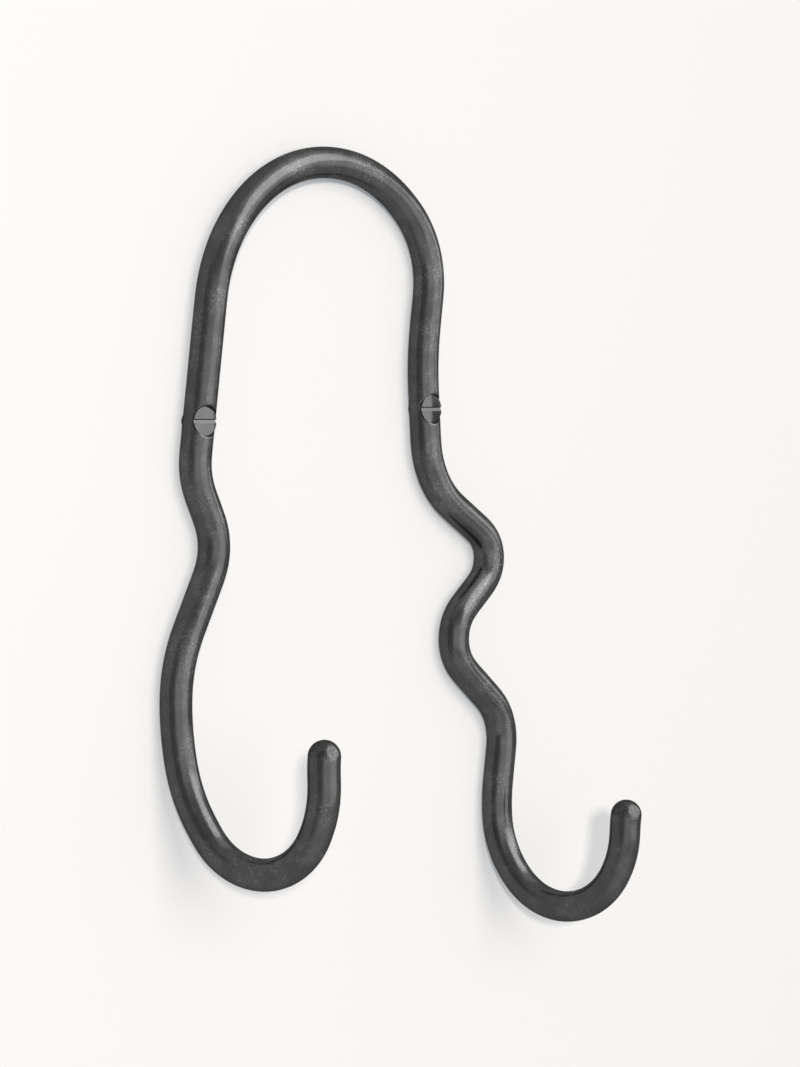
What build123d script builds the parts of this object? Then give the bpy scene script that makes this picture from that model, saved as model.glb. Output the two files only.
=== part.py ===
from build123d import *
import math
import os

# Double wall hook: one round rod, bent as an arch with two wavy legs that end in hooks, and the
# two slotted countersunk wood screws that hold it to a wall.
# Millimetres. +X is to the right, +Y goes into the wall and +Z is up. The wall's face is Y = 0,
# and the origin is where the left screw enters it.

# Driving dimensions
ROD_D = 8.1
SCREW_PITCH_X = 79.0
SCREW_PITCH_Z = 3.0
SHANK_D = 4.0
HEAD_D = 7.3
HEAD_RIM = 0.3
HEAD_CROWN = 0.12
HEAD_RISE = 2.7
BORE_GAP = 0.3
BORE_BELOW_FACE = 0.95
SCREW_LENGTH = 30.0
LEFT_HOOK_TURN = 75.0
RIGHT_HOOK_TURN = 80.0

# Values that follow from them
ROD_R = ROD_D / 2
AXIS_Y = -ROD_R
FACE_Y = AXIS_Y - HEAD_RISE
SHANK_HOLE_D = SHANK_D + 0.3
THREAD_ROOT_D = 0.7 * SHANK_D
POINT_LENGTH = SHANK_D
SLOT_WIDTH = 0.275 * SHANK_D
SLOT_DEPTH = 0.1 * SHANK_D
CONE_START_Y = FACE_Y + HEAD_RIM
CONE_DEPTH = (HEAD_D - SHANK_D) / 2

# Left hook, in its own upright plane: (distance out from the wall, height), bend radius
LEFT_HOOK_FOOT_X = -7.5
LEFT_TIP = (42.4, -79.9)
LEFT_HOOK = [
    ((42.4, -94.3), 28.0),
    ((34.4, -109.7), 16.6),
    ((14.6, -109.3), 18.4),
    ((2.6, -91.3), 41.0),
    ((0.0, -74.9), 68.0),
]

# Legs and arch, flat on the wall: (X, height), bend radius
FLAT_PART = [
    ((LEFT_HOOK_FOOT_X, -59.6), 38.0),
    ((7.0, -31.1), 15.5),
    ((-1.6, -13.5), 17.0),
    ((9.0, 65.4), 40.6),
    ((61.8, 65.4), 39.6),
    ((82.0, 44.5), 24.8),
    ((78.1, 16.0), 80.0),
    ((80.2, -16.5), 22.0),
    ((109.3, -35.6), 8.8),
    ((83.9, -57.8), 11.2),
    ((109.4, -79.2), 14.5),
    ((106.6, -99.3), 35.0),
]

# Right hook, in its own upright plane
RIGHT_HOOK_FOOT_X = 106.6
RIGHT_HOOK = [
    ((0.0, -114.7), 27.0),
    ((13.1, -128.4), 18.5),
    ((31.3, -128.5), 18.2),
    ((39.6, -114.4), 24.0),
]
RIGHT_TIP = (40.4, -102.9)


def on_wall(point):
    """Put a point of the flat part on the rod's axis plane."""
    x, z = point
    return Vector(x, AXIS_Y, z)


def on_hook(point, foot_x, turn):
    """Put a point of a hook into its upright plane, turned out of the wall about its foot."""
    out, z = point
    angle = math.radians(turn)
    return Vector(foot_x + out * math.cos(angle), AXIS_Y - out * math.sin(angle), z)


def rod_path():
    """Return the rod's centre line from left tip to right tip, and the points at its bends."""
    corners = [(on_hook(p, LEFT_HOOK_FOOT_X, LEFT_HOOK_TURN), r) for p, r in LEFT_HOOK]
    corners += [(on_wall(p), r) for p, r in FLAT_PART]
    corners += [(on_hook(p, RIGHT_HOOK_FOOT_X, RIGHT_HOOK_TURN), r) for p, r in RIGHT_HOOK]
    start = on_hook(LEFT_TIP, LEFT_HOOK_FOOT_X, LEFT_HOOK_TURN)
    end = on_hook(RIGHT_TIP, RIGHT_HOOK_FOOT_X, RIGHT_HOOK_TURN)
    points = [start] + [point for point, radius in corners] + [end]
    radii = [radius for point, radius in corners]
    return FilletPolyline(*points, radius=radii)


def screw_places():
    """Give each screw's name and its place on the wall, as (X, Z)."""
    return {"left_screw": (0.0, 0.0), "right_screw": (SCREW_PITCH_X, SCREW_PITCH_Z)}


def turned(profile, place):
    """Revolve an (radius, Y) outline about a screw's axis."""
    x, z = place
    sketch = Plane(origin=(x, 0, z), x_dir=(1, 0, 0), z_dir=(0, 0, 1)) * make_face(profile)
    return revolve(sketch, axis=Axis((x, 0, z), (0, 1, 0)))


def countersink(place):
    """Make the cutter for a screw hole: a shallow bore round the head, a 90 degree seat and the hole."""
    hole_r = SHANK_HOLE_D / 2
    head_r = HEAD_D / 2
    bore_r = head_r + BORE_GAP
    mouth_y = AXIS_Y - 1.5 * ROD_R
    floor_y = FACE_Y + BORE_BELOW_FACE
    seat_r = head_r - (floor_y - CONE_START_Y)
    hole_y = CONE_START_Y + head_r - hole_r
    back_y = ROD_R
    outline = Polyline(
        (0, mouth_y), (bore_r, mouth_y), (bore_r, floor_y), (seat_r, floor_y),
        (hole_r, hole_y), (hole_r, back_y), (0, back_y),
        close=True,
    )
    return turned(outline, place)


def hook_rod():
    """Sweep the round rod, dome its two ends and drill it for the screws."""
    path = rod_path()
    section = Plane(origin=path @ 0, z_dir=path % 0) * Circle(ROD_R)
    rod = sweep(section, path=path)
    for end in (path @ 0, path @ 1):
        rod += Pos(*end) * Sphere(ROD_R)
    for place in screw_places().values():
        rod -= countersink(place)
    return rod


def screw(place):
    """Turn a countersunk wood screw, less its thread, and cut its slot."""
    head_r = HEAD_D / 2
    shank_r = SHANK_D / 2
    root_r = THREAD_ROOT_D / 2
    end_y = FACE_Y + SCREW_LENGTH
    crown_r = (head_r**2 + HEAD_CROWN**2) / (2 * HEAD_CROWN)
    crown = RadiusArc((0, FACE_Y - HEAD_CROWN), (head_r, FACE_Y), -crown_r)
    side = Polyline(
        (head_r, FACE_Y),
        (head_r, CONE_START_Y),
        (shank_r, CONE_START_Y + CONE_DEPTH),
        (shank_r, 0),
        (root_r, 0),
        (root_r, end_y - POINT_LENGTH),
        (0, end_y),
        (0, FACE_Y - HEAD_CROWN),
    )
    body = turned(Wire([*crown.edges(), *side.edges()]), place)
    x, z = place
    slot = Pos(x, FACE_Y, z) * Box(2 * HEAD_D, 2 * SLOT_DEPTH, SLOT_WIDTH)
    return body - slot


def main():
    os.makedirs("parts", exist_ok=True)
    export_step(hook_rod(), "parts/hook_rod.step")
    for name, place in screw_places().items():
        export_step(screw(place), f"parts/{name}.step")


main()
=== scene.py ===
import math

import bmesh
import bpy
import numpy as np
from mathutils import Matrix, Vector, noise
from mathutils.kdtree import KDTree

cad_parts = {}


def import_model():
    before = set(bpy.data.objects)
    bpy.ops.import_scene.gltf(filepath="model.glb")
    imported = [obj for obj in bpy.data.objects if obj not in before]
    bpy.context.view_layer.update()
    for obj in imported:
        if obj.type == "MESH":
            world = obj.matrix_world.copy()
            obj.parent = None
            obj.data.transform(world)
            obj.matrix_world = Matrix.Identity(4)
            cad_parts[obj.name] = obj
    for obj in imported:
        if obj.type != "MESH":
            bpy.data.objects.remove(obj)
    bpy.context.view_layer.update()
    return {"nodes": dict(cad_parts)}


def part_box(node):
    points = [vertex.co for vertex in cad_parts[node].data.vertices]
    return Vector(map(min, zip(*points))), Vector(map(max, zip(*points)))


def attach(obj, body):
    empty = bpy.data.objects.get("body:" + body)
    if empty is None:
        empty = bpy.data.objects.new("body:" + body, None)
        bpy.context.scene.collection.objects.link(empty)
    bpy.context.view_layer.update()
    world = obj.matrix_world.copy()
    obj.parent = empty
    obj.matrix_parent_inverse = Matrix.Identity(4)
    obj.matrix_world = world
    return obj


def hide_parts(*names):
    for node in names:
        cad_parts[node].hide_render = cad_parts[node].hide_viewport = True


# Looks of the double wall hook: a round blackened rod and its two slotted screws on a pale wall.
# Metres, in the frame of the CAD part: +X to the right, +Y into the wall, +Z up, wall face at Y = 0.

MM = 0.001

# Rod
ROD_R = 4.05 * MM
RING_STEP = 0.55 * MM
RING_SIDES = 72
DOME_RINGS = 14
EASING = 1.7 * MM
DENT_DEPTH = 0.03 * MM

# A round section of the CAD rod: how closely its corners' centres agree, and the fewest corners it has
RING_MATCH = 0.05 * MM
RING_MIN_CORNERS = 60

# The rod's tips: how deep the flat on each is ground, which way it faces, and how soft the line is
# between the ground dome and the waxed rod
GROUND_FLATS = (0.36 * MM, 0.42 * MM)
GROUND_WAY = Vector((-0.17, -0.93, 0.32)).normalized()
GROUND_LINE = 0.15 * MM

# Screws. Depths are measured from the rim of a head's face, which is FACE_Y.
HEAD_R = 3.65 * MM
HEAD_EDGE = 0.09 * MM
HEAD_CROWN = 0.12 * MM
HEAD_RINGS = 12
EDGE_RINGS = 10
SHANK_R = 2.0 * MM
SCREW_LENGTH = 30.0 * MM
FACE_Y = -(ROD_R + 2.7 * MM)
CONE_START_Y = FACE_Y + 0.3 * MM

# The bore round a head, the lightly broken edge of its mouth, and the hole for the shank
BORE_R = HEAD_R + 0.3 * MM
BORE_EDGE = 0.3 * MM
BORE_FLOOR_Y = FACE_Y + 0.95 * MM
HOLE_R = SHANK_R + 0.15 * MM

# Slots: the floor is shallower by the tilt at its lower side, and its upper corner is worn
SLOT_WIDTH = 1.1 * MM
SLOT_DEPTH = 0.4 * MM
SLOT_TILT = 0.14 * MM
SLOT_FACET = 0.24 * MM
SLOT_EDGE = 0.04 * MM

# Threads and points
THREAD_R = SHANK_R
THREAD_ROOT_R = 0.7 * THREAD_R
THREAD_PITCH = 1.8 * MM
THREAD_STEPS = 36
THREAD_START_Y = 0.4 * MM
THREAD_SHORT_OF_POINT = 0.6 * MM
POINT_Y = FACE_Y + SCREW_LENGTH
POINT_LENGTH = 2 * SHANK_R
POINT_R = 0.02 * MM

# Edges that turn by more than this are sharp, and on the screws also broken
ROD_SHARP = math.radians(35)
SCREW_SHARP = math.radians(12)
THREAD_SHARP = math.radians(30)
BROKEN_FROM = math.radians(38)

# Camera: the place it looks at, and how it stands to it
TARGET = Vector((70.0, -4.0, -29.3)) * MM
CAMERA_AZIMUTH = -45.0
CAMERA_ELEVATION = 2.0
CAMERA_DISTANCE = 0.92
LENS = 119.64

# Wall: its paint takes the light and the shadow, and its faint glow keeps the shadow pale and cool
WHITE = (0.956, 0.938, 0.922, 1)
WALL_PAINT = (0.766, 0.72, 0.677, 1)
WALL_GLOW = (0.198, 0.226, 0.253, 1)
WALL_HALF = 4.0
WALL_Y = 0.05 * MM
WORLD_FILL = 0.3


# ---------------------------------------------------------------- geometry helpers


def direction(azimuth, elevation):
    """Unit vector from the object towards that side; azimuth 0 is in front of the wall."""
    a, e = math.radians(azimuth), math.radians(elevation)
    return Vector((math.sin(a) * math.cos(e), -math.cos(a) * math.cos(e), math.sin(e)))


def new_object(name, vertices, faces):
    """Make a smooth-shaded mesh object from its points and faces."""
    mesh = bpy.data.meshes.new(name)
    mesh.from_pydata([tuple(v) for v in vertices], [], faces)
    shape = bmesh.new()
    shape.from_mesh(mesh)
    bmesh.ops.recalc_face_normals(shape, faces=shape.faces)
    shape.to_mesh(mesh)
    shape.free()
    mesh.shade_smooth()
    obj = bpy.data.objects.new(name, mesh)
    bpy.context.scene.collection.objects.link(obj)
    return obj


def tube_faces(rings, sides):
    """Quads between rings of points that are numbered one ring after another."""
    faces = []
    for i in range(rings - 1):
        for k in range(sides):
            a = i * sides + k
            b = i * sides + (k + 1) % sides
            faces.append((a, b, b + sides, a + sides))
    return faces


def closed_tube(name, rings, tips):
    """A tube through rings of points, closed by a fan from each end ring to its tip."""
    sides = len(rings[0])
    first_tip = len(rings) * sides
    last_ring = first_tip - sides
    faces = tube_faces(len(rings), sides)
    for k in range(sides):
        j = (k + 1) % sides
        faces.append((first_tip, j, k))
        faces.append((first_tip + 1, last_ring + k, last_ring + j))
    return new_object(name, [point for ring in rings for point in ring] + tips, faces)


def turned_point(centre, radius, y, angle):
    """The point at that radius, depth and angle about a screw's axis."""
    return Vector((centre.x + radius * math.cos(angle), y, centre.z + radius * math.sin(angle)))


def lathe(name, profile, centre, sides=96):
    """Turn a (radius, Y) profile about a screw's axis and close its ends."""
    angles = [2 * math.pi * k / sides for k in range(sides)]
    rings = [[turned_point(centre, radius, y, a) for a in angles] for radius, y in profile]
    tips = [turned_point(centre, 0.0, y, 0.0) for y in (profile[0][1], profile[-1][1])]
    return closed_tube(name, rings, tips)


def apply_modifiers(obj):
    """Turn an object's modifiers into its mesh."""
    bpy.context.view_layer.update()
    done = obj.evaluated_get(bpy.context.evaluated_depsgraph_get())
    mesh = bpy.data.meshes.new_from_object(done)
    obj.modifiers.clear()
    obj.data = mesh


def cut_away(obj, cutter):
    """Add the modifier that cuts one object out of another."""
    cut = obj.modifiers.new("cut", "BOOLEAN")
    cut.object = cutter
    cut.solver = "EXACT"


# ---------------------------------------------------------------- the rod


def corner_data(mesh):
    """Place and normal at every face corner of a mesh."""
    index = np.empty(len(mesh.loops), np.int32)
    mesh.loops.foreach_get("vertex_index", index)
    place = np.empty(len(mesh.vertices) * 3, np.float32)
    mesh.vertices.foreach_get("co", place)
    normal = np.empty(len(mesh.loops) * 3, np.float32)
    mesh.corner_normals.foreach_get("vector", normal)
    return place.reshape(-1, 3)[index], normal.reshape(-1, 3)


def rod_rings(mesh):
    """Centres and directions of the rod's round sections, from one tip to the other.

    Each point of a round section, moved inwards by the rod's radius, falls on its centre.
    """
    place, normal = corner_data(mesh)
    centres = place - ROD_R * normal
    tree = KDTree(len(centres))
    for i, c in enumerate(centres):
        tree.insert(c, i)
    tree.balance()
    used = np.zeros(len(centres), bool)
    rings = []
    for i in range(len(centres)):
        if used[i]:
            continue
        near = [n for _, n, _ in tree.find_range(centres[i], RING_MATCH)]
        used[near] = True
        if len(near) >= RING_MIN_CORNERS:
            spread = np.linalg.svd(normal[near], full_matrices=False)[2]
            rings.append((len(near), Vector(centres[near].mean(0)), Vector(spread[2])))
    return in_order(rings)


def in_order(rings):
    """Chain the rings from the left tip, where the dome gives the most corners."""
    tips = sorted(rings, key=lambda ring: -ring[0])[:2]
    chain = [min(tips, key=lambda ring: ring[1].x)]
    rest = [ring for ring in rings if ring is not chain[0]]
    while rest:
        here = chain[-1][1]
        chain.append(min(rest, key=lambda ring: (ring[1] - here).length))
        rest.remove(chain[-1])
    places = [ring[1] for ring in chain]
    ways = [ring[2] for ring in chain]
    ways[0] = places[1] - places[0]
    ways[-1] = places[-1] - places[-2]
    for i in range(1, len(ways) - 1):
        if ways[i].dot(places[i + 1] - places[i - 1]) < 0:
            ways[i] = -ways[i]
    return places, [way.normalized() for way in ways]


def smooth_line(places, ways):
    """Evenly stepped points on the curve through the rings."""
    points = []
    for p0, p1, w0, w1 in zip(places, places[1:], ways, ways[1:]):
        length = (p1 - p0).length
        count = max(1, round(length / RING_STEP))
        for n in range(count):
            t = n / count
            a = 2 * t**3 - 3 * t**2 + 1
            b = t**3 - 2 * t**2 + t
            c = -2 * t**3 + 3 * t**2
            d = t**3 - t**2
            points.append(a * p0 + b * length * w0 + c * p1 + d * length * w1)
    return points + [places[-1]]


def eased_line(points):
    """Points and directions of the line, with each join of a straight and a bend eased.

    The ends are mirrored past the tips before the averaging, so that the tips stay in place.
    """
    places = np.array(points)
    reach = round(EASING / RING_STEP)
    window = np.ones(2 * reach + 1) / (2 * reach + 1)
    for _ in range(2):
        before = 2 * places[0] - places[reach:0:-1]
        after = 2 * places[-1] - places[-2 : -reach - 2 : -1]
        padded = np.vstack((before, places, after))
        places = np.stack([np.convolve(padded[:, k], window, "valid") for k in range(3)], 1)
    line = [Vector(p) for p in places]
    ways = [(b - a).normalized() for a, b in zip(line, line[2:])]
    return line, [ways[0]] + ways + [ways[-1]]


def carried_frames(tangents):
    """Two directions across the rod at each point, carried along it without twist."""
    side = tangents[0].cross(Vector((0, 0, 1))).normalized()
    frames = []
    for tangent in tangents:
        side = (side - side.dot(tangent) * tangent).normalized()
        frames.append((side, tangent.cross(side)))
    return frames


def run_lengths(points):
    """Length along the rod at each point."""
    lengths = [0.0]
    for a, b in zip(points, points[1:]):
        lengths.append(lengths[-1] + (b - a).length)
    return lengths


def hand_forged(angle, along):
    """How far the surface lies inside the true round there: faint flats and hollows."""
    broad_run, small_run = 14 * MM, 4.5 * MM
    around = Vector((math.cos(angle), math.sin(angle), 0.0))
    broad = noise.noise(around * 0.9 + Vector((0, 0, along / broad_run)))
    small = noise.noise(around * 2.2 + Vector((7.0, 0, along / small_run)))
    return DENT_DEPTH * (0.5 + 0.42 * broad + 0.22 * small)


def ground_ends_off(place, points):
    """Move a point of a domed end back onto the flat that is ground on it."""
    dome_reach = 1.05 * ROD_R
    for middle, flat in zip((points[0], points[-1]), GROUND_FLATS):
        if (place - middle).length < dome_reach:
            over = (place - middle).dot(GROUND_WAY) - (ROD_R - flat)
            place = place - max(over, 0.0) * GROUND_WAY
    return place


def rod_sections(points, tangents, frames, lengths):
    """Centre, frame, radius and length along the rod of every ring, the domed ends' too."""
    sections = []
    for end, sign in ((0, -1), (-1, 1)):
        cap = []
        for n in range(1, DOME_RINGS):
            lift = math.pi / 2 * n / DOME_RINGS
            centre = points[end] + sign * ROD_R * math.sin(lift) * tangents[end]
            cap.append((centre, frames[end], ROD_R * math.cos(lift), lengths[end]))
        sections.append(cap)
    body = [(p, f, ROD_R, s) for p, f, s in zip(points, frames, lengths)]
    return sections[0][::-1] + body + sections[1]


def build_rod(node):
    """Model the rod afresh along the CAD rod's own centre line, with its faint unevenness."""
    points, tangents = eased_line(smooth_line(*rod_rings(node.data)))
    frames = carried_frames(tangents)
    lengths = run_lengths(points)
    angles = [2 * math.pi * k / RING_SIDES for k in range(RING_SIDES)]
    rings = []
    for centre, (side, other), radius, along in rod_sections(points, tangents, frames, lengths):
        ring = []
        for a in angles:
            out = math.cos(a) * side + math.sin(a) * other
            r = radius * (1 - hand_forged(a, along) / ROD_R)
            ring.append(ground_ends_off(centre + r * out, points))
        rings.append(ring)
    tips = [points[0] - ROD_R * tangents[0], points[-1] + ROD_R * tangents[-1]]
    return closed_tube("rod", rings, tips), points, tangents, frames, lengths


def drill(rod, centres):
    """Cut the countersunk screw holes: a shallow bore, the screw's seat and the hole below it."""
    above_y = FACE_Y - 6 * MM
    behind_y = 5 * MM
    profile = [
        (BORE_R, above_y),
        (BORE_R, BORE_FLOOR_Y),
        (HEAD_R - (BORE_FLOOR_Y - CONE_START_Y), BORE_FLOOR_Y),
        (HOLE_R, CONE_START_Y + HEAD_R - HOLE_R),
        (HOLE_R, behind_y),
    ]
    cutters = [lathe("cutter", profile, centre) for centre in centres]
    for cutter in cutters:
        cut_away(rod, cutter)
    apply_modifiers(rod)
    for cutter in cutters:
        bpy.data.objects.remove(cutter)
    rod.data.shade_smooth()
    rod.data.set_sharp_from_angle(angle=ROD_SHARP)


def write_straight_places(rod, points, tangents, frames, lengths):
    """Store where each point would lie if the rod were pulled straight, for grain along it."""
    tree = KDTree(len(points))
    for i, p in enumerate(points):
        tree.insert(p, i)
    tree.balance()
    layer = rod.data.attributes.new("straight", "FLOAT_VECTOR", "POINT")
    values = []
    for vertex in rod.data.vertices:
        _, i, _ = tree.find(vertex.co)
        off = vertex.co - points[i]
        along = lengths[i] + off.dot(tangents[i])
        values += [off.dot(frames[i][0]), off.dot(frames[i][1]), along]
    layer.data.foreach_set("vector", values)


# ---------------------------------------------------------------- the screws


def head_profile():
    """Outline of the head from its crown to its rounded rim."""
    crown_r = (HEAD_R**2 + HEAD_CROWN**2) / (2 * HEAD_CROWN)
    flat_r = HEAD_R - HEAD_EDGE
    points = []
    for n in range(1, HEAD_RINGS + 1):
        r = flat_r * n / HEAD_RINGS
        points.append((r, FACE_Y - HEAD_CROWN + crown_r - math.sqrt(crown_r**2 - r**2)))
    top_y = points[-1][1]
    for n in range(1, EDGE_RINGS + 1):
        a = math.pi / 2 * n / EDGE_RINGS
        points.append((flat_r + HEAD_EDGE * math.sin(a), top_y + HEAD_EDGE * (1 - math.cos(a))))
    return points


def slot_cutter(centre):
    """A bar across the head, which leaves a slightly tilted floor and a worn upper corner."""
    half = SLOT_WIDTH / 2
    above_y = FACE_Y - 1 * MM
    floor_y = FACE_Y + SLOT_DEPTH
    outline = [
        (above_y, -half),
        (floor_y - SLOT_TILT, -half),
        (floor_y, half - SLOT_FACET),
        (floor_y - SLOT_FACET, half),
        (above_y, half),
    ]
    reach = 2 * HEAD_R
    corners = [(centre.x + x, y, centre.z + z) for x in (-reach, reach) for y, z in outline]
    count = len(outline)
    faces = [tuple(range(count)), tuple(range(2 * count - 1, count - 1, -1))]
    for n in range(count):
        m = (n + 1) % count
        faces.append((n, m, count + m, count + n))
    return new_object("slot_cutter", corners, faces)


def build_screw(name, centre):
    """Turn the whole screw, less its thread, and cut its slot with lightly broken edges."""
    profile = head_profile() + [
        (HEAD_R, CONE_START_Y),
        (SHANK_R, CONE_START_Y + HEAD_R - SHANK_R),
        (SHANK_R, 0.0),
        (THREAD_ROOT_R, 0.0),
        (THREAD_ROOT_R, POINT_Y - POINT_LENGTH),
        (POINT_R, POINT_Y - POINT_R),
    ]
    screw = lathe(name, profile, centre)
    cutter = slot_cutter(centre)
    cut_away(screw, cutter)
    broken = screw.modifiers.new("edges", "BEVEL")
    broken.width = SLOT_EDGE
    broken.segments = 2
    broken.limit_method = "ANGLE"
    broken.angle_limit = BROKEN_FROM
    apply_modifiers(screw)
    bpy.data.objects.remove(cutter)
    screw.data.shade_smooth()
    screw.data.set_sharp_from_angle(angle=SCREW_SHARP)
    return screw


def build_thread(name, centre):
    """A sharp right-handed wood screw thread round the core, running out onto the point."""
    turns = (POINT_Y - THREAD_START_Y - THREAD_SHORT_OF_POINT) / THREAD_PITCH
    steps = int(turns * THREAD_STEPS)
    core = 0.85 * THREAD_ROOT_R
    half_foot = 0.36 * THREAD_PITCH
    half_crest = 0.04 * THREAD_PITCH
    taper_y = POINT_Y - POINT_LENGTH
    vertices = []
    for n in range(steps + 1):
        y = THREAD_START_Y + THREAD_PITCH * n / THREAD_STEPS
        a = -2 * math.pi * n / THREAD_STEPS
        taper = min(1.0, (POINT_Y - y) / POINT_LENGTH)
        rise = min(1.0, n / THREAD_STEPS) * min(1.0, (steps - n) / THREAD_STEPS)
        root = THREAD_ROOT_R * (taper if y > taper_y else 1.0)
        crest = root + (THREAD_R - THREAD_ROOT_R) * rise * (0.35 + 0.65 * taper)
        foot = root * core / THREAD_ROOT_R
        vertices.append(turned_point(centre, foot, y - half_foot, a))
        vertices.append(turned_point(centre, crest, y - half_crest, a))
        vertices.append(turned_point(centre, crest, y + half_crest, a))
        vertices.append(turned_point(centre, foot, y + half_foot, a))
    faces = tube_faces(steps + 1, 4)
    faces.append((3, 2, 1, 0))
    faces.append(tuple(len(vertices) - 4 + n for n in range(4)))
    thread = new_object(name, vertices, faces)
    thread.data.set_sharp_from_angle(angle=THREAD_SHARP)
    return thread


# ---------------------------------------------------------------- materials


class Nodes:
    """Short calls for building one material's nodes."""

    def __init__(self, name):
        self.material = bpy.data.materials.new(name)
        self.material.use_nodes = True
        self.tree = self.material.node_tree
        self.shader = self.tree.nodes["Principled BSDF"]

    def add(self, kind, **values):
        """A new node with these settings."""
        node = self.tree.nodes.new(kind)
        for key, value in values.items():
            setattr(node, key, value)
        return node

    def link(self, source, target):
        """Join an output to an input."""
        self.tree.links.new(source, target)

    def axis(self, vector, name):
        """One coordinate of a vector: X, Y or Z."""
        split = self.add("ShaderNodeSeparateXYZ")
        self.link(vector, split.inputs[0])
        return split.outputs[name]

    def noise(self, vector, scale, detail=3.0, rough=0.5, stretch=None):
        """Noise of about 0 to 1, with about that many features in a metre, times the stretch."""
        if stretch:
            mapping = self.add("ShaderNodeMapping")
            mapping.inputs["Scale"].default_value = stretch
            self.link(vector, mapping.inputs["Vector"])
            vector = mapping.outputs["Vector"]
        node = self.add("ShaderNodeTexNoise")
        node.inputs["Scale"].default_value = scale
        node.inputs["Detail"].default_value = detail
        node.inputs["Roughness"].default_value = rough
        self.link(vector, node.inputs["Vector"])
        return node.outputs["Fac"]

    def span(self, value, low, high, out_low=0.0, out_high=1.0):
        """Map a range onto another, clamped."""
        node = self.add("ShaderNodeMapRange")
        for key, number in zip(
            ("From Min", "From Max", "To Min", "To Max"), (low, high, out_low, out_high)
        ):
            node.inputs[key].default_value = number
        self.link(value, node.inputs["Value"])
        return node.outputs["Result"]

    def math(self, operation, a, b=0.0):
        """Work out one sum on sockets or plain numbers."""
        node = self.add("ShaderNodeMath", operation=operation)
        for socket, value in zip(node.inputs, (a, b)):
            if isinstance(value, (int, float)):
                socket.default_value = value
            else:
                self.link(value, socket)
        return node.outputs["Value"]

    def mix(self, fac, a, b):
        """The colour a where the factor is 0, and b where it is 1."""
        node = self.add("ShaderNodeMix", data_type="RGBA")
        for key, value in zip((0, 6, 7), (fac, a, b)):
            if isinstance(value, (int, float, tuple)):
                node.inputs[key].default_value = value
            else:
                self.link(value, node.inputs[key])
        return node.outputs[2]

    def bump(self, height, strength, distance, normal=None):
        """Tilt the normal by a height that is worth this distance, on top of an earlier bump."""
        node = self.add("ShaderNodeBump")
        node.inputs["Strength"].default_value = strength
        node.inputs["Distance"].default_value = distance
        self.link(height, node.inputs["Height"])
        if normal:
            self.link(normal, node.inputs["Normal"])
        return node.outputs["Normal"]


def grey(value, blue=0.0):
    """A grey, tinted towards blue by that share."""
    return (value * (1 - blue), value, value * (1 + blue), 1.0)


def ground_ends(m, place, length):
    """1 on the two ground ends of the rod, 0 along it."""
    along = m.axis(place, "Z")
    first = m.span(along, GROUND_LINE, -GROUND_LINE)
    last = m.span(along, length - GROUND_LINE, length + GROUND_LINE)
    return m.math("MAXIMUM", first, last)


def bore_distance(m, centres):
    """Distance from the nearest screw's axis, and far away below the bore's floor."""
    place = m.add("ShaderNodeTexCoord").outputs["Object"]
    place_x, place_z = m.axis(place, "X"), m.axis(place, "Z")
    nearest = 1.0
    for centre in centres:
        x = m.math("SUBTRACT", place_x, centre.x)
        z = m.math("SUBTRACT", place_z, centre.z)
        squares = m.math("ADD", m.math("MULTIPLY", x, x), m.math("MULTIPLY", z, z))
        nearest = m.math("MINIMUM", nearest, m.math("SQRT", squares))
    below = m.span(m.axis(place, "Y"), BORE_FLOOR_Y + 0.02 * MM, BORE_FLOOR_Y + 0.1 * MM)
    return m.math("ADD", nearest, below)


def rod_fields(m, length, centres):
    """The noises and masks that the rod's tone, gloss and relief share."""
    place = m.add("ShaderNodeAttribute", attribute_name="straight").outputs["Vector"]
    reach = bore_distance(m, centres)
    clouds = m.noise(place, 150, 4, 0.6)
    return {
        "clouds": clouds,
        "grainy": m.span(clouds, 0.47, 0.6),
        "waves": m.noise(place, 260, 1, 0.4, stretch=(1.0, 1.0, 0.6)),
        "lines": m.noise(place, 1100, 2, 0.5, stretch=(1.0, 1.0, 0.035)),
        "leather": m.noise(place, 1700, 3, 0.6),
        "pits": m.noise(place, 2300, 1, 0.5),
        "ends": ground_ends(m, place, length),
        # The bores' walls and floors: a lighter grey there is painted light, and the extra roughness
        # is real
        "bore_painted_light_and_dull": m.span(reach, BORE_R + 0.03 * MM, BORE_R + 0.01 * MM),
        "bore_edge": m.span(reach, BORE_R, BORE_R + BORE_EDGE),
    }


def rod_tone(m, f):
    """Clouds, worn grain on the lighter clouds, dark pits, the ground tips, and painted light: a
    lighter grey in the deep bores.
    """
    tone = m.mix(m.span(f["clouds"], 0.35, 0.68), grey(0.063, 0.008), grey(0.083, 0.004))
    worn = m.math("MULTIPLY", m.span(f["leather"], 0.5, 0.68), f["grainy"])
    tone = m.mix(worn, tone, grey(0.135))
    tone = m.mix(m.span(f["pits"], 0.36, 0.28), tone, grey(0.045))
    ground = m.mix(m.span(f["leather"], 0.45, 0.62), grey(0.045), grey(0.075))
    tone = m.mix(f["ends"], tone, ground)
    # Painted light: the bores' walls and floors get a lighter grey than the rod, standing in for light
    # that hardly reaches into them
    return m.mix(f["bore_painted_light_and_dull"], tone, grey(0.16))


def rod_roughness(m, f):
    """Waxed metal, duller on the leathery skin's high spots, the ground tips and the bores' walls."""
    rough = m.span(f["clouds"], 0.3, 0.7, 0.17, 0.25)
    rough = m.math("ADD", rough, m.span(f["leather"], 0.35, 0.7, -0.02, 0.06))
    rough = m.math("ADD", rough, m.math("MULTIPLY", f["ends"], 0.08))
    return m.math("ADD", rough, m.math("MULTIPLY", f["bore_painted_light_and_dull"], 0.3))


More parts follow.
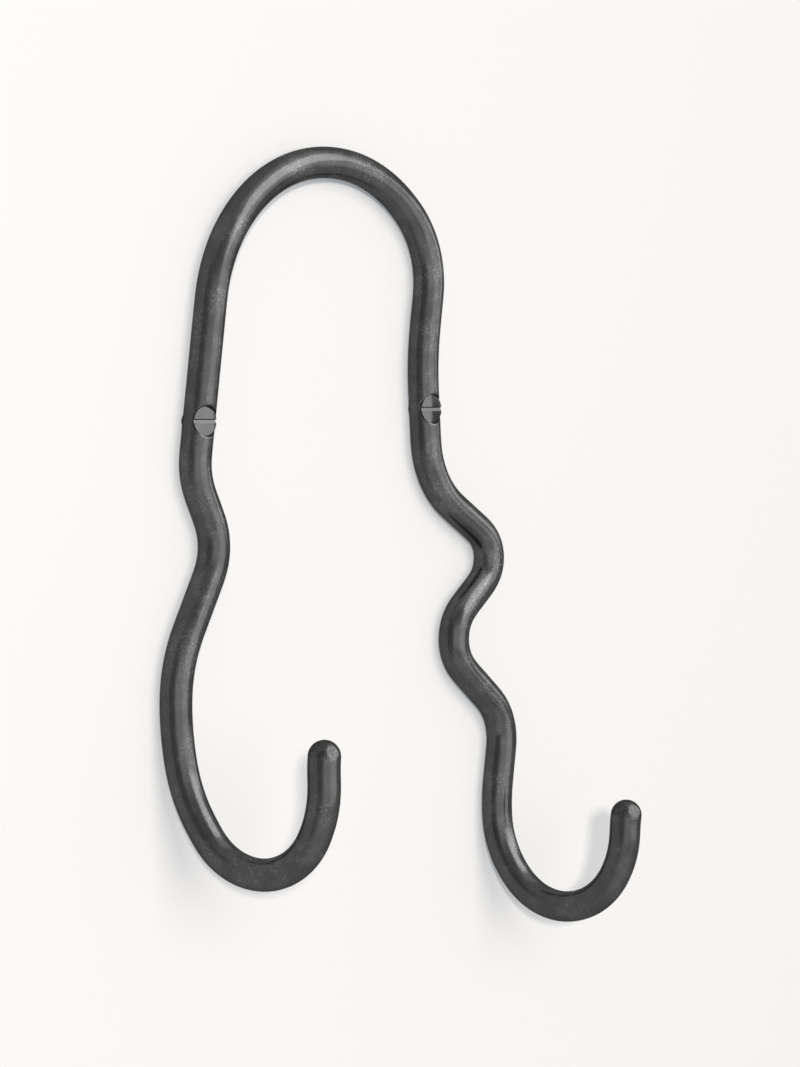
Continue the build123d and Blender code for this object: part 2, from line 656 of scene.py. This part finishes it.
def rod_relief(m, f):
    """Waves, draw lines, leathery skin and grain, rougher tips, pits, the tips' and bores' edges."""
    grain = m.math("MULTIPLY", f["leather"], f["grainy"])
    ground = m.math("MULTIPLY", f["leather"], f["ends"])
    normal = m.bump(f["waves"], 1.0, 0.09 * MM)
    normal = m.bump(f["lines"], 0.4, 0.014 * MM, normal)
    normal = m.bump(f["leather"], 0.8, 0.016 * MM, normal)
    normal = m.bump(grain, 0.8, 0.03 * MM, normal)
    normal = m.bump(ground, 0.8, 0.04 * MM, normal)
    normal = m.bump(m.span(f["pits"], 0.24, 0.36), 0.6, 0.02 * MM, normal)
    normal = m.bump(m.span(f["ends"], 0.0, 1.0, 1.0, 0.0), 0.6, 0.06 * MM, normal)
    return m.bump(f["bore_edge"], 1.0, 0.1 * MM, normal)


def rod_material(length, centres):
    """Blackened metal rubbed with wax: mottled and finely pitted, with faint draw lines, and painted
    light in the bores.
    """
    m = Nodes("blackened_rod_finish")
    fields = rod_fields(m, length, centres)
    m.link(rod_tone(m, fields), m.shader.inputs["Base Color"])
    m.link(rod_roughness(m, fields), m.shader.inputs["Roughness"])
    m.link(rod_relief(m, fields), m.shader.inputs["Normal"])
    m.shader.inputs["Metallic"].default_value = 0.84
    m.shader.inputs["Specular IOR Level"].default_value = 0.2
    m.shader.inputs["Specular Tint"].default_value = (0.35, 0.35, 0.35, 1.0)
    return m.material


def screw_material():
    """The screws' smoother blackened metal, duller below the polished face."""
    m = Nodes("screw_metal_finish")
    place = m.add("ShaderNodeTexCoord").outputs["Object"]
    clouds = m.noise(place, 500, 3, 0.5)
    fine = m.noise(place, 4000, 2, 0.5)
    below = m.span(m.axis(place, "Y"), FACE_Y + 0.14 * MM, FACE_Y + 0.22 * MM)
    tone = m.mix(m.span(clouds, 0.3, 0.7), grey(0.075), grey(0.085))
    tone = m.mix(below, tone, m.mix(m.span(fine, 0.3, 0.7), grey(0.06), grey(0.07)))
    m.link(tone, m.shader.inputs["Base Color"])
    rough = m.span(fine, 0.3, 0.7, 0.06, 0.1)
    m.link(m.math("ADD", rough, m.math("MULTIPLY", below, 0.06)), m.shader.inputs["Roughness"])
    m.link(m.bump(fine, 0.1, 0.01 * MM), m.shader.inputs["Normal"])
    m.shader.inputs["Metallic"].default_value = 1.0
    m.shader.inputs["Specular Tint"].default_value = (0.6, 0.6, 0.6, 1.0)
    return m.material


def dress(obj, material):
    """Give the whole object one material."""
    obj.data.materials.clear()
    obj.data.materials.append(material)


# ---------------------------------------------------------------- the wall, lights and camera


def seen_directly(tree):
    """Is Camera Ray, Is Glossy Ray or Is Transmission Ray, as one value."""
    path = tree.nodes.new("ShaderNodeLightPath")
    total = path.outputs["Is Camera Ray"]
    for name in ("Is Glossy Ray", "Is Transmission Ray"):
        node = tree.nodes.new("ShaderNodeMath")
        node.operation = "MAXIMUM"
        tree.links.new(total, node.inputs[0])
        tree.links.new(path.outputs[name], node.inputs[1])
        total = node.outputs["Value"]
    return total


def coloured(tree, kind, colour, strength=None):
    """The output of a new shader node of one colour."""
    node = tree.nodes.new(kind)
    node.inputs["Color"].default_value = colour
    if strength is not None:
        node.inputs["Strength"].default_value = strength
    return node.outputs[0]


def surface_of(tree, kind, fac, where_0, where_1):
    """Give the tree an output node that shows one shader or the other."""
    output = tree.nodes.new(kind)
    mix = tree.nodes.new("ShaderNodeMixShader")
    tree.links.new(fac, mix.inputs["Fac"])
    tree.links.new(where_0, mix.inputs[1])
    tree.links.new(where_1, mix.inputs[2])
    tree.links.new(mix.outputs[0], output.inputs["Surface"])


def empty_material(name):
    """A new material with no nodes."""
    material = bpy.data.materials.new(name)
    material.use_nodes = True
    material.node_tree.nodes.clear()
    return material


def pale_world():
    """White where it is seen, and a plain even fill light."""
    world = bpy.data.worlds.new("pale")
    bpy.context.scene.world = world
    world.use_nodes = True
    tree = world.node_tree
    tree.nodes.clear()
    fill = coloured(tree, "ShaderNodeBackground", (1, 1, 1, 1), WORLD_FILL)
    seen = coloured(tree, "ShaderNodeBackground", WHITE, 1.0)
    surface_of(tree, "ShaderNodeOutputWorld", seen_directly(tree), fill, seen)


def wall():
    """A pale wall that takes the object's shadow and can be looked through from behind."""
    corners = [(-1, -1), (1, -1), (1, 1), (-1, 1)]
    places = [(x * WALL_HALF, WALL_Y, z * WALL_HALF) for x, z in corners]
    obj = new_object("wall", places, [(0, 1, 2, 3)])
    material = empty_material("pale_wall")
    tree = material.node_tree
    painted = tree.nodes.new("ShaderNodeAddShader")
    paint = coloured(tree, "ShaderNodeBsdfDiffuse", WALL_PAINT)
    glow = coloured(tree, "ShaderNodeEmission", WALL_GLOW, 1.0)
    tree.links.new(paint, painted.inputs[0])
    tree.links.new(glow, painted.inputs[1])
    clear = coloured(tree, "ShaderNodeBsdfTransparent", (1, 1, 1, 1))
    path = tree.nodes.new("ShaderNodeLightPath")
    geometry = tree.nodes.new("ShaderNodeNewGeometry")
    front = tree.nodes.new("ShaderNodeMath")
    front.operation = "SUBTRACT"
    front.use_clamp = True
    tree.links.new(path.outputs["Is Camera Ray"], front.inputs[0])
    tree.links.new(geometry.outputs["Backfacing"], front.inputs[1])
    surface_of(tree, "ShaderNodeOutputMaterial", front.outputs[0], clear, painted.outputs[0])
    dress(obj, material)


def face_target(obj, azimuth, elevation, distance):
    """Stand a light or the camera on that side of the object, turned towards it."""
    towards = direction(azimuth, elevation)
    obj.location = TARGET + distance * towards
    obj.rotation_mode = "QUATERNION"
    obj.rotation_quaternion = towards.to_track_quat("Z", "Y")


def softbox(name, azimuth, elevation, width, height, power, distance=1.2, wall_light=False):
    """A rectangular studio light that faces the object; every angle is in degrees.

    It shows in the metal's reflections only. A wall light instead lights only what is matt: the
    wall, with the object's shadow, and the metal's own tone.
    """
    data = bpy.data.lights.new(name, "AREA")
    data.shape = "RECTANGLE"
    data.size = 2 * distance * math.tan(math.radians(width / 2))
    data.size_y = 2 * distance * math.tan(math.radians(height / 2))
    data.energy = power * data.size * data.size_y
    obj = bpy.data.objects.new(name, data)
    bpy.context.scene.collection.objects.link(obj)
    face_target(obj, azimuth, elevation, distance)
    obj.visible_diffuse = wall_light
    obj.visible_glossy = not wall_light


def flag(name, azimuth, elevation, width, height, shade, distance=1.3):
    """A grey panel that only shows in reflections, as a studio flag does."""
    towards = direction(azimuth, elevation)
    turn = towards.to_track_quat("Z", "Y")
    x = distance * math.tan(math.radians(width / 2))
    y = distance * math.tan(math.radians(height / 2))
    corners = [(-x, -y, 0), (x, -y, 0), (x, y, 0), (-x, y, 0)]
    places = [TARGET + distance * towards + turn @ Vector(c) for c in corners]
    obj = new_object(name, places, [(0, 1, 2, 3)])
    material = empty_material("grey_cloth")
    tree = material.node_tree
    cloth = coloured(tree, "ShaderNodeEmission", (shade, shade, shade, 1), 1.0)
    clear = coloured(tree, "ShaderNodeBsdfTransparent", (1, 1, 1, 1))
    path = tree.nodes.new("ShaderNodeLightPath")
    mirrored = path.outputs["Is Glossy Ray"]
    surface_of(tree, "ShaderNodeOutputMaterial", mirrored, clear, cloth)
    dress(obj, material)


def lights():
    """Softboxes and flags for the metal, and two lights for the wall.

    The numbers are azimuth, elevation, width and height, and then power or shade.
    """
    softbox("key", 28, 35, 46, 42, 15.5, distance=2.2)
    softbox("front_right", 21.7, -2, 48, 30, 5.9)
    softbox("front_left", -24.5, -2, 43, 30, 3.2)
    softbox("right", 63, 11, 21, 18, 12)
    softbox("low_front", -15, -42, 75, 34, 1.4)
    softbox("high_right", 30, 68, 60, 14, 2.9)
    softbox("wall_beside_camera", -41.5, 8, 3.2, 3.2, 1560, distance=4.0, wall_light=True)
    softbox("wall_soft", -8, 14, 40, 40, 7.6, distance=3.0, wall_light=True)
    flag("side_flag", -73, 8, 34, 52, 0.42)
    flag("upper_flag", -38, 34, 38, 24, 0.6)
    flag("right_flag", 58, -3, 24, 14, 0.55)


def camera():
    """The scene's camera, with a long lens."""
    data = bpy.data.cameras.new("camera")
    data.lens = LENS
    data.clip_start = 0.01
    data.clip_end = 50.0
    obj = bpy.data.objects.new("camera", data)
    bpy.context.scene.collection.objects.link(obj)
    face_target(obj, CAMERA_AZIMUTH, CAMERA_ELEVATION, CAMERA_DISTANCE)
    bpy.context.scene.camera = obj


# ---------------------------------------------------------------- putting it together


def box_centre(node):
    """The middle of a node's box, which lies on the axis of a screw."""
    low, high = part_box(node)
    return (low + high) / 2


def add_rod(node, centres):
    """Put the finished rod in place of the CAD rod."""
    rod, points, tangents, frames, lengths = build_rod(node)
    drill(rod, centres)
    write_straight_places(rod, points, tangents, frames, lengths)
    dress(rod, rod_material(lengths[-1], centres))
    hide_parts("hook_rod")
    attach(rod, "root")


def add_screw(name, centre, metal):
    """Put a finished screw in place of the CAD screw, and its thread round it."""
    screw = build_screw(f"{name}_turned", centre)
    dress(screw, metal)
    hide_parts(name)
    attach(screw, "root")
    thread = build_thread(f"{name}_thread", centre)
    dress(thread, metal)
    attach(thread, "root")


def main():
    """Load the CAD part, set up the studio and build every piece round the part."""
    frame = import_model()
    bpy.context.scene.view_settings.view_transform = "Standard"
    camera()
    pale_world()
    wall()
    lights()

    centres = {name: box_centre(name) for name in ("left_screw", "right_screw")}
    add_rod(frame["nodes"]["hook_rod"], list(centres.values()))
    metal = screw_material()
    for name, centre in centres.items():
        add_screw(name, centre, metal)


main()
